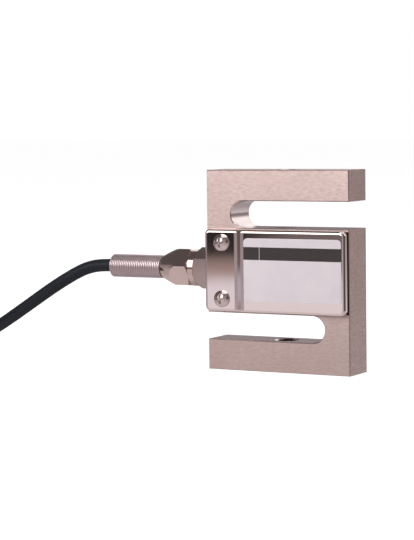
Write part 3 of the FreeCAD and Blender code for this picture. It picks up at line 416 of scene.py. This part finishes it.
MATERIALS = {
    "beam_metal": beam_metal(),
    "label_plate": label_material(),
    "cover_metal": metal("cover_sheet", (226, 212, 208), (222, 208, 204), 0.035, 500, 0.01),
    "cover_screw": metal("screw_plate", (216, 200, 197), (204, 187, 184), 0.15, 1500, 0.05),
    "gland_metal": metal(
        "gland_plate", (216, 195, 190), (206, 185, 179), 0.12, 800, 0.05, (2.5, 0.4, 0.4)
    ),
    "spring_wire": metal("spring_steel", (206, 188, 190), (190, 172, 175), 0.36, 1500, 0.05),
    "lead_shield": metal("tinned_strands", (200, 196, 190), (180, 175, 168), 0.3, 3000, 0.4),
    "black_rubber": plastic("pad_rubber", (38, 36, 37), (30, 28, 30), 0.7, 400, 0.4),
    "clamp_plastic": plastic("clamp_nylon", (214, 210, 200), (205, 200, 190), 0.45, 300, 0.1),
    "cable_jacket": plastic(
        "jacket_pvc", (27, 32, 40), (22, 27, 34), 0.5, 220, 0.3, Specular_IOR_Level=0.22
    ),
    "tie_strap": plastic("strap_nylon", (34, 34, 36), (27, 27, 29), 0.5, 500, 0.3),
    "sleeve_plastic": plastic("shrink_sleeve", (28, 28, 30), (22, 22, 24), 0.55, 500, 0.3),
    "gauge_foil": plastic("gauge_film", (206, 150, 62), (190, 132, 50), 0.35, 900, 0.1),
    "board_green": plastic("board_lacquer", (30, 112, 66), (24, 98, 56), 0.3, 600, 0.1),
    "chip_body": plastic("chip_ceramic", (48, 46, 46), (40, 38, 38), 0.5, 900, 0.1),
    "lead_red": plastic("insulation_red", (196, 34, 30), (180, 26, 24), 0.4, 500, 0.1),
    "lead_black": plastic("insulation_black", (34, 34, 36), (28, 28, 30), 0.4, 500, 0.1),
    "lead_green": plastic("insulation_green", (38, 150, 74), (30, 134, 64), 0.4, 500, 0.1),
    "lead_white": plastic("insulation_white", (232, 231, 226), (222, 220, 214), 0.4, 500, 0.1),
    "gauge_wire": plastic("enamelled_wire", (168, 84, 40), (150, 70, 32), 0.3, 900, 0.1),
}
SLOT_OF = {entry["node"]: entry["material_slot"] for entry in frame["record"]["subparts"]}


def dress(item, slot_name):
    """Gives a piece the material of its slot."""
    item.data.materials.clear()
    item.data.materials.append(MATERIALS[slot_name])


for node_name, node in frame["nodes"].items():
    dress(node, SLOT_OF[node_name])
dress(cable, "cable_jacket")


# ---------------------------------------------------------------- meshes
def new_mesh(name, shape, slot_name, smooth=True):
    """A piece from its vertices in mm and its faces, riding on the part's one body."""
    vertices, faces = shape
    mesh = bpy.data.meshes.new(name)
    mesh.from_pydata([Vector(vertex) * MM for vertex in vertices], [], faces)
    work = bmesh.new()
    work.from_mesh(mesh)
    bmesh.ops.recalc_face_normals(work, faces=work.faces)
    work.to_mesh(mesh)
    work.free()
    for polygon in mesh.polygons:
        polygon.use_smooth = smooth
    item = add_object(name, mesh)
    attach(item, "root")
    dress(item, slot_name)
    return item


def ring_faces(rings, count, loop=False):
    """Faces between rings of count vertices each, closed at both ends unless it is a loop."""
    faces = []
    for ring in range(rings - 1):
        for side in range(count):
            after = (side + 1) % count
            low, high = ring * count, (ring + 1) * count
            faces.append((low + side, low + after, high + after, high + side))
    if not loop:
        faces.append(tuple(range(count))[::-1])
        faces.append(tuple((rings - 1) * count + side for side in range(count)))
    return faces


def circle(radius, sides):
    """The points of a round section."""
    angles = [2 * math.pi * side / sides for side in range(sides)]
    return [(radius * math.cos(angle), radius * math.sin(angle)) for angle in angles]


def swept(path, section):
    """A closed section carried along a path of (origin, first direction, second direction)."""
    vertices = [
        origin + first * a + second * b for origin, first, second in path for a, b in section
    ]
    return vertices, ring_faces(len(path), len(section))


def tube(route, radius, sides):
    """A round tube through the points of a route."""
    path = []
    for index, point in enumerate(route):
        before = route[max(index - 1, 0)]
        after = route[min(index + 1, len(route) - 1)]
        along = (Vector(after) - Vector(before)).normalized()
        first = along.cross(UP).normalized()
        path.append((Vector(point), first, first.cross(along)))
    return swept(path, circle(radius, sides))


def curve_points(corners, steps):
    """Points along the cubic curve that four corners pull."""
    points = []
    for step in range(steps + 1):
        t = step / steps
        u = 1 - t
        weights = (u * u * u, 3 * u * u * t, 3 * u * t * t, t * t * t)
        point = Vector()
        for weight, corner in zip(weights, corners):
            point += weight * Vector(corner)
        points.append(point)
    return points


def joined(shapes):
    """Several shapes as one."""
    vertices, faces = [], []
    for some_vertices, some_faces in shapes:
        start = len(vertices)
        vertices += list(some_vertices)
        faces += [tuple(start + index for index in face) for face in some_faces]
    return vertices, faces


def corner_of(axis, level, pair):
    """A block's corner, at a level along one axis and at a pair of levels along the other two."""
    corner = list(pair)
    corner.insert(axis, level)
    return tuple(corner)


def cut_block(low, high, edge):
    """A block between two opposite corners, with its edges cut back."""
    corners = list(itertools.product((0, 1), repeat=3))
    vertices, index_of = [], {}
    for corner in corners:
        for axis in range(3):
            point = []
            for each in range(3):
                inward = 0 if each == axis else edge
                point.append(high[each] - inward if corner[each] else low[each] + inward)
            index_of[corner, axis] = len(vertices)
            vertices.append(tuple(point))
    faces = [tuple(index_of[corner, axis] for axis in range(3)) for corner in corners]
    for axis in range(3):
        first, second = (each for each in range(3) if each != axis)
        for level in (0, 1):
            ring = [corner_of(axis, level, pair) for pair in ((0, 0), (1, 0), (1, 1), (0, 1))]
            faces.append(tuple(index_of[corner, axis] for corner in ring))
        for pair in itertools.product((0, 1), repeat=2):
            start, end = (corner_of(axis, level, pair) for level in (0, 1))
            ends = ((start, first), (start, second), (end, second), (end, first))
            faces.append(tuple(index_of[key] for key in ends))
    return vertices, faces


# ---------------------------------------------------------------- spring and threads
SPRING_START_X = -44.5
SPRING_LEVEL = 32
SPRING_BORE_RADIUS = 3.2
SPRING_WIRE = 0.62
SPRING_PITCH = 0.68
SPRING_TURNS = 29
SPRING_STEPS = 28
# A quarter of the wire's section, (outward, along), worn nearly flat on the outside.
WIRE_QUARTER = [(1.0, 0.0), (0.995, 0.36), (0.95, 0.62), (0.80, 0.85), (0.45, 0.98), (0.0, 1.0)]


def make_spring():
    """The strain-relief spring's wire, close wound, between the ends of its plain solid."""
    half_wire = SPRING_WIRE / 2
    radius = SPRING_BORE_RADIUS + half_wire
    rise = (SPRING_TURNS * SPRING_PITCH - SPRING_WIRE) / (SPRING_TURNS - 1)
    path = []
    for step in range((SPRING_TURNS - 1) * SPRING_STEPS + 1):
        turn = step / SPRING_STEPS
        angle = 2 * math.pi * turn
        out = Vector((0, math.cos(angle), math.sin(angle)))
        x = SPRING_START_X - half_wire - turn * rise
        path.append((Vector((x, 0, SPRING_LEVEL)) + out * radius, out, Vector((1, 0, 0))))
    half = WIRE_QUARTER + [(-out, along) for out, along in WIRE_QUARTER[-2::-1]]
    outline = half + [(out, -along) for out, along in half[-2:0:-1]]
    section = [(half_wire * out, half_wire * along) for out, along in outline]
    spring = new_mesh("wound_spring", swept(path, section), "spring_wire")
    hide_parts("strain_relief_spring")


THREAD_WALL = 3.42
THREAD_DEPTH = 0.36
THREAD_PITCH = 1.25
THREAD_STEPS = 40
# The ridge's section: levels in pitches, and how far each stands in from the wall in depths.
THREAD_SECTION = [(-0.42, 0), (-0.07, 1), (0.07, 1), (0.42, 0)]


def make_thread(name, low, high):
    """The turns of a mounting thread, standing in from the bore's wall and fading at both ends."""
    count = int((high - low - THREAD_PITCH * 0.8) / THREAD_PITCH * THREAD_STEPS)
    vertices = []
    for step in range(count + 1):
        turn = step / THREAD_STEPS
        angle = 2 * math.pi * turn
        middle = low + THREAD_PITCH * (0.4 + turn)
        depth = THREAD_DEPTH * min(1.0, turn, (count - step) / THREAD_STEPS)
        for offset, inward in THREAD_SECTION:
            radius = THREAD_WALL - depth * inward
            level = middle + offset * THREAD_PITCH
            vertices.append((radius * math.cos(angle), radius * math.sin(angle), level))
    faces = ring_faces(count + 1, len(THREAD_SECTION))
    new_mesh(name, (vertices, faces), "beam_metal")


make_spring()


# ---------------------------------------------------------------- hank's tie, sleeve and leads
TIE_HALF_WIDTH = 9.15
TIE_BOTTOM, TIE_TOP = 1.0, 25.8
TIE_CORNER = 2.6
TIE_THICKNESS = 0.85
TIE_WIDTH = 4.7
TIE_RIB_PITCH = 0.9
TIE_RIB_DEPTH = 0.08
TIE_GROOVE = 0.86
# Half of the strap's section, as shares of its thickness and width.
TIE_HALF_SECTION = [
    (0.0, -0.5),
    (0.12, -0.5),
    (0.7, -0.5),
    (1.0, -0.44),
    (1.0, -0.30),
    (TIE_GROOVE, -0.26),
]
# Half length, nearest and furthest reach, bottom, top and cut edge.
TIE_HEAD = (3.4, 0.1, 3.9, 13.2, 17.8, 0.6)
TIE_END = (2.2, 1.3, 2.3, 17.6, 21.4, 0.3)


def tie_stations():
    """Places round the strap's loop: the corners' centres or between them, and the way out."""
    across, top, bottom = TIE_HALF_WIDTH - TIE_CORNER, TIE_TOP - TIE_CORNER, TIE_BOTTOM + TIE_CORNER
    line = []
    for corner, (y, z) in enumerate(
        ((across, top), (-across, top), (-across, bottom), (across, bottom))
    ):
        for step in range(7):
            angle = math.radians(90 * corner + 15 * step)
            line.append((y, z, math.cos(angle), math.sin(angle)))
    stations = []
    for here, after in zip(line, line[1:] + line[:1]):
        stations.append(here)
        count = int(math.hypot(after[0] - here[0], after[1] - here[1]) / TIE_RIB_PITCH)
        for step in range(1, count):
            share = step / count
            y = here[0] + (after[0] - here[0]) * share
            z = here[1] + (after[1] - here[1]) * share
            stations.append((y, z, here[2], here[3]))
    return stations


def tie_block(half_length, near, far, bottom, top, edge):
    """A block beside the strap, from near to far out from it."""
    low = (HANK_X - half_length, TIE_HALF_WIDTH + near, bottom)
    high = (HANK_X + half_length, TIE_HALF_WIDTH + far, top)
    return cut_block(low, high, edge)


def make_tie():
    """The strap round the hank's waist: a ribbed band, its locking head and the cut tail."""
    section = TIE_HALF_SECTION + [(out, -across) for out, across in TIE_HALF_SECTION[::-1]]
    stations = tie_stations()
    vertices = []
    for index, (y, z, out_y, out_z) in enumerate(stations):
        rib = TIE_RIB_DEPTH if index % 2 else 0.0
        for out, across in section:
            lift = TIE_CORNER + out * TIE_THICKNESS - (rib if out == TIE_GROOVE else 0.0)
            vertices.append((HANK_X + across * TIE_WIDTH, y + lift * out_y, z + lift * out_z))
    # The band is a loop, so its last ring joins its first.
    total = len(vertices)
    faces = [
        tuple(index % total for index in face)
        for face in ring_faces(len(stations) + 1, len(section), loop=True)
    ]
    shape = joined([(vertices, faces), tie_block(*TIE_HEAD), tie_block(*TIE_END)])
    tie = new_mesh("nylon_tie", shape, "tie_strap", smooth=False)
    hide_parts("hank_tie")


SLEEVE_PROFILE = [
    (-188.9, 2.12),
    (-189.0, 2.34),
    (-189.6, 2.42),
    (-190.6, 2.50),
    (-193.0, 2.47),
    (-195.6, 2.50),
    (-198.0, 2.44),
    (-199.6, 2.36),
    (-200.5, 2.16),
    (-200.9, 2.02),
    (-201.0, 1.86),
    (-200.8, 1.70),
    (-200.2, 1.62),
    (-199.8, 0.02),
]
SLEEVE_RADIUS = 2.5
SLEEVE_SIDES = 28


def make_sleeve():
    """The shrink sleeve over the jacket's end, drawn in at both ends and a little uneven."""
    vertices = []
    for row, (x, radius) in enumerate(SLEEVE_PROFILE):
        for side in range(SLEEVE_SIDES):
            angle = 2 * math.pi * side / SLEEVE_SIDES
            swell = 1 + 0.012 * math.sin(3 * angle + row) if radius > 2.2 else 1.0
            reach = min(radius * swell, SLEEVE_RADIUS)
            vertices.append((x, reach * math.cos(angle), TAIL_LEVEL + reach * math.sin(angle)))
    faces = ring_faces(len(SLEEVE_PROFILE), SLEEVE_SIDES)
    sleeve = new_mesh("shrink_sleeve", (vertices, faces), "sleeve_plastic")
    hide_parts("cable_end_sleeve")


# Each conductor's place in the sleeve's mouth, its end's place across, and how high it arches.
LEADS = {
    "end_lead_red": (-1.0, 0.55, -9.5, 0.0),
    "end_lead_black": (-0.6, -0.7, -4.6, 0.3),
    "end_lead_shield": (0.0, 0.8, 0.4, -0.2),
    "end_lead_green": (0.6, -0.7, 5.0, 0.2),
    "end_lead_white": (1.0, 0.55, 9.2, -0.1),
}
LEAD_RADIUS = 0.5
LEAD_REST_LEVEL = 22.05
# The places along X of the four corners that pull each conductor's curve.
LEAD_PLACES = (-199.9, -207.0, -212.0, -220.2)
STRAND_RADIUS = 0.1
STRAND_REACH = 0.2
STRANDS_ROUND = 6
STRAND_STEPS = 12
STRAND_TWIST = 0.35
STRAND_STRIDE = 0.42
STRAND_START = -0.3


def strands(start, along):
    """One tip's bare strands, six twisted round a seventh, from the insulation's cut end."""
    side = along.cross(UP).normalized()
    up = side.cross(along)
    shapes = []
    for strand in range(STRANDS_ROUND + 1):
        reach = STRAND_REACH if strand < STRANDS_ROUND else 0.0
        line = []
        for step in range(STRAND_STEPS + 1):
            angle = 2 * math.pi * strand / STRANDS_ROUND + step * STRAND_TWIST
            offset = side * (reach * math.cos(angle)) + up * (reach * math.sin(angle))
            line.append(start + along * (step * STRAND_STRIDE + STRAND_START) + offset)
        shapes.append(tube(line, STRAND_RADIUS, 6))
    return shapes


def make_end_leads():
    """The five conductors from the sleeve, with the strands of their tinned tips twisted."""
    tips = []
    for name, (start_y, start_z, end_y, lift) in LEADS.items():
        start = (start_y, TAIL_LEVEL + start_z)
        end = (end_y, LEAD_REST_LEVEL + lift * 0.4)
        arch = (start_y + (end_y - start_y) * 0.55, end[1] + 0.5 + lift)
        corners = [(x, *place) for x, place in zip(LEAD_PLACES, (start, start, arch, end))]
        route = curve_points(corners, 22)
        lead = new_mesh(name + "_wire", tube(route, LEAD_RADIUS, 10), SLOT_OF[name])
        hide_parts(name)
        tips += strands(route[-1], (route[-1] - route[-2]).normalized())
    new_mesh("tinned_tips", joined(tips), "lead_shield")


make_tie()
make_sleeve()
make_end_leads()

make_thread("upper_thread_turns", 54.7, 63.5)
make_thread("lower_thread_turns", 0.5, 9.3)


# ---------------------------------------------------------------- floor
FLOOR_REACH = 6.0
FLOOR_TONE = (0.62, 0.61, 0.61, 1)
FLOOR_GLOW = 0.75


def make_floor():
    """A white table that keeps the object's shadow and that polished metal doesn't mirror."""
    mesh = bpy.data.meshes.new("floor")
    signs = ((-1, -1), (1, -1), (1, 1), (-1, 1))
    corners = [(FLOOR_REACH * x, FLOOR_REACH * y, 0) for x, y in signs]
    mesh.from_pydata(corners, [], [(0, 1, 2, 3)])
    floor = add_object("floor", mesh)
    material = bpy.data.materials.new("floor_white")
    material.use_nodes = True
    tree = material.node_tree
    shaded = tree.nodes["Principled BSDF"]
    shaded.inputs["Base Color"].default_value = FLOOR_TONE
    shaded.inputs["Roughness"].default_value = 1.0
    shaded.inputs["Specular IOR Level"].default_value = 0.0
    glow = tree.nodes.new("ShaderNodeEmission")
    glow.inputs["Strength"].default_value = FLOOR_GLOW
    path = tree.nodes.new("ShaderNodeLightPath")
    both = tree.nodes.new("ShaderNodeAddShader")
    pick = tree.nodes.new("ShaderNodeMixShader")
    tree.links.new(shaded.outputs["BSDF"], both.inputs[0])
    tree.links.new(glow.outputs["Emission"], both.inputs[1])
    tree.links.new(path.outputs["Is Camera Ray"], pick.inputs["Fac"])
    tree.links.new(shaded.outputs["BSDF"], pick.inputs[1])
    tree.links.new(both.outputs["Shader"], pick.inputs[2])
    tree.links.new(pick.outputs["Shader"], tree.nodes["Material Output"].inputs["Surface"])
    mesh.materials.append(material)
    floor.visible_glossy = False


make_floor()


# ---------------------------------------------------------------- room
# A ramp holds colours from 0 to 1, so they are divided by this and the light multiplied by it.
BRIGHTEST = 1.6
# Half of each ramp goes to the levels just under the horizon: lowest, highest and share.
SCALE = [(-1.0, -0.12, 0.2), (-0.12, -0.05, 0.5), (-0.05, 1.0, 0.3)]
TABLE = (0.76, 0.72, 0.74)
NEAR_TABLE = (0.58, 0.53, 0.54)
DIM = (0.026, 0.025, 0.025)
HALF_DIM = (0.20, 0.17, 0.175)
WINDOW = (1.30, 1.30, 1.30)
CEILING = (0.125, 0.115, 0.115)
# Each room is a list of levels, from straight down at -1 to straight up at 1, with its light there.
PLAIN_TABLE = [(-1.0, TABLE), (-0.60, TABLE), (-0.40, NEAR_TABLE), (-0.16, NEAR_TABLE)]
GLOSSY_TABLE = [
    (-1.0, TABLE),
    (-0.60, TABLE),
    (-0.38, (0.80, 0.74, 0.75)),
    (-0.22, (0.80, 0.74, 0.75)),
    (-0.16, NEAR_TABLE),
    (-0.110, (0.92, 0.84, 0.84)),
    (-0.0860, (0.94, 0.92, 1.00)),
    (-0.0815, (0.66, 0.58, 0.60)),
    (-0.0790, (0.44, 0.33, 0.32)),
    (-0.0722, (0.30, 0.225, 0.20)),
]
UNDER_CEILING = [(0.72, CEILING), (1.0, CEILING)]
WINDOW_WALL = [(0.150, WINDOW), (0.62, WINDOW), *UNDER_CEILING]
SKY = [(0.090, DIM), *WINDOW_WALL]
FRONT_ROOM = [*GLOSSY_TABLE, (-0.0706, (0.12, 0.10, 0.095)), (-0.0688, DIM), *SKY]
PALE_ROOM = [*GLOSSY_TABLE, (-0.0690, HALF_DIM), (-0.0500, HALF_DIM), *SKY]
RIGHT_ROOM = [
    *PLAIN_TABLE,
    (-0.12, (0.72, 0.66, 0.67)),
    (0.30, (0.40, 0.37, 0.37)),
    (0.50, (0.40, 0.40, 0.40)),
    *UNDER_CEILING,
]
END_ROOM = [
    *PLAIN_TABLE,
    (-0.12, (0.10, 0.09, 0.09)),
    (0.30, (0.10, 0.09, 0.09)),
    *UNDER_CEILING,
]
CORNER_ROOM = [
    *PLAIN_TABLE,
    (-0.10, (0.52, 0.47, 0.51)),
    (-0.060, (0.40, 0.35, 0.37)),
    (0.090, (0.36, 0.31, 0.33)),
    *WINDOW_WALL,
]
LEFT_ROOM = [
    *PLAIN_TABLE,
    (-0.097, (0.38, 0.30, 0.27)),
    (-0.093, (0.56, 0.54, 0.62)),
    (-0.082, (0.56, 0.54, 0.62)),
    (-0.076, (0.20, 0.16, 0.15)),
    (-0.060, (0.15, 0.13, 0.12)),
    (0.20, (0.12, 0.11, 0.11)),
    (1.0, CEILING),
]
FAR_LEFT_ROOM = [
    *PLAIN_TABLE,
    (-0.10, (0.52, 0.47, 0.51)),
    (0.05, (0.40, 0.36, 0.38)),
    (0.20, (0.13, 0.12, 0.12)),
    (1.0, CEILING),
]
BACK_ROOM = [
    (-1.0, (0.45, 0.42, 0.43)),
    (-0.46, (0.48, 0.45, 0.46)),
    (-0.15, (0.84, 0.80, 0.81)),
    (-0.07, (0.40, 0.36, 0.37)),
    (-0.02, (0.16, 0.14, 0.14)),
    (0.07, (0.12, 0.10, 0.10)),
    (0.12, (0.26, 0.22, 0.23)),
    (0.21, (0.34, 0.30, 0.31)),
    (0.31, (1.5, 1.5, 1.5)),
    (0.56, (1.3, 1.3, 1.3)),
    (0.70, (0.30, 0.28, 0.30)),
    (0.78, CEILING),
    (1.0, CEILING),
]
BACK_RIGHT_ROOM = [
    (-1.0, (0.45, 0.42, 0.43)),
    (-0.46, (0.48, 0.45, 0.46)),
    (-0.15, (0.88, 0.84, 0.85)),
    (-0.07, (0.50, 0.46, 0.47)),
    (-0.02, (0.32, 0.29, 0.30)),
    (0.12, (0.36, 0.33, 0.34)),
    (0.26, (1.5, 1.5, 1.5)),
    (0.56, (1.4, 1.4, 1.4)),
    (0.70, (0.60, 0.58, 0.60)),
    (1.0, CEILING),
]
# Bearings from straight ahead towards the left, in degrees, between which each room takes over.
SECTORS = [
    (26.6, 28.2, FRONT_ROOM),
    (31.0, 35.0, CORNER_ROOM),
    (53.0, 58.0, LEFT_ROOM),
    (64.0, 72.0, FAR_LEFT_ROOM),
]


class Room:
    """The world's nodes: what light comes from each direction."""

    def __init__(self):
        world = bpy.data.worlds.new("studio")
        bpy.context.scene.world = world
        world.use_nodes = True
        self.nodes = world.node_tree.nodes
        self.links = world.node_tree.links
        place = self.nodes.new("ShaderNodeTexCoord").outputs["Generated"]
        split = self.nodes.new("ShaderNodeSeparateXYZ")
        self.links.new(place, split.inputs["Vector"])
        self.x, self.y, self.z = (split.outputs[name] for name in "XYZ")
        self.height = self.scaled_height()

    def spread(self, value, low, high):
        """A value's share of the way from low to high, held at both ends."""
        item = self.nodes.new("ShaderNodeMapRange")
        item.inputs["From Min"].default_value = low
        item.inputs["From Max"].default_value = high
        self.links.new(value, item.inputs["Value"])
        return item.outputs["Result"]

    def scaled_height(self):
        """The direction's level, on the uneven scale that the ramps use."""
        total = None
        for low, high, share in SCALE:
            part = self.nodes.new("ShaderNodeMath")
            part.operation = "MULTIPLY_ADD"
            self.links.new(self.spread(self.z, low, high), part.inputs[0])
            part.inputs[1].default_value = share
            part.inputs[2].default_value = 0.0
            if total:
                self.links.new(total, part.inputs[2])
            total = part.outputs["Value"]
        return total

    def bearing(self):
        """The angle from -pi at -Y, through -X, to 0 at +Y."""
        item = self.nodes.new("ShaderNodeMath")
        item.operation = "ARCTAN2"
        self.links.new(self.x, item.inputs[0])
        self.links.new(self.y, item.inputs[1])
        return item.outputs["Value"]

    def ramp(self, stops):
        """A room's light by level."""
        item = self.nodes.new("ShaderNodeValToRGB")
        elements = item.color_ramp.elements
        while len(elements) > 1:
            elements.remove(elements[-1])
        for index, (level, shade) in enumerate(stops):
            element = elements[0] if index == 0 else elements.new(1.0)
            element.position = sum(
                share * min(max((level - low) / (high - low), 0), 1) for low, high, share in SCALE
            )
            element.color = (*(value / BRIGHTEST for value in shade), 1.0)
        self.links.new(self.height, item.inputs["Fac"])
        return item.outputs["Color"]

    def blend(self, share, first, second):
        item = self.nodes.new("ShaderNodeMix")
        item.data_type = "RGBA"
        colours = [entry for entry in item.inputs if entry.type == "RGBA"]
        self.links.new(share, item.inputs["Factor"])
        self.links.new(first, colours[0])
        self.links.new(second, colours[1])
        return next(entry for entry in item.outputs if entry.type == "RGBA")

    def across(self, low, high):
        """The share of the way across the room, from one X to another."""
        return self.spread(self.x, low, high)


def make_world():
    """A photo table's room: a front window of light, a dim band at eye level, a pale table."""
    room = Room()
    pale = room.ramp(PALE_ROOM)
    right = room.blend(room.across(0.0, 0.20), pale, room.ramp(RIGHT_ROOM))
    bearing = room.bearing()
    light = pale
    for start, end, stops in SECTORS:
        low, high = (math.radians(angle - 180) for angle in (start, end))
        light = room.blend(room.spread(bearing, low, high), light, room.ramp(stops))
    light = room.blend(room.across(-0.001, 0.001), light, right)
    behind = room.blend(
        room.across(-0.10, 0.20), room.ramp(BACK_ROOM), room.ramp(BACK_RIGHT_ROOM)
    )
    behind = room.blend(room.across(-0.52, -0.66), behind, room.ramp(FAR_LEFT_ROOM))
    light = room.blend(room.spread(room.y, -0.35, 0.35), light, behind)
    light = room.blend(room.across(0.66, 0.82), light, room.ramp(END_ROOM))
    background = room.nodes["Background"]
    background.inputs["Strength"].default_value = BRIGHTEST
    room.links.new(light, background.inputs["Color"])
    white = room.nodes.new("ShaderNodeBackground")
    white.inputs["Color"].default_value = (1, 1, 1, 1)
    white.inputs["Strength"].default_value = 1.0
    path = room.nodes.new("ShaderNodeLightPath")
    shown = room.nodes.new("ShaderNodeMixShader")
    room.links.new(path.outputs["Is Camera Ray"], shown.inputs["Fac"])
    room.links.new(background.outputs["Background"], shown.inputs[1])
    room.links.new(white.outputs["Background"], shown.inputs[2])
    room.links.new(shown.outputs["Shader"], room.nodes["World Output"].inputs["Surface"])


make_world()


# ---------------------------------------------------------------- lamps
def add_lamp(name, place, aim, energy, width, height):
    """A soft rectangular lamp. Places and sizes are in metres, and energy in watts."""
    data = bpy.data.lights.new(name, "AREA")
    data.energy = energy
    data.shape = "RECTANGLE"
    data.size = width
    data.size_y = height
    lamp = add_object(name, data)
    lamp.location = place
    lamp.rotation_euler = (Vector(aim) - Vector(place)).to_track_quat("-Z", "Y").to_euler()


add_lamp("key", (-0.16, -0.33, 0.20), (0, 0, 0.07), 0.72, 0.36, 0.26)
add_lamp("top", (0.1, -0.2, 1.0), (0, 0, 0.03), 3.0, 0.8, 0.8)

bpy.context.scene.view_settings.view_transform = "Standard"
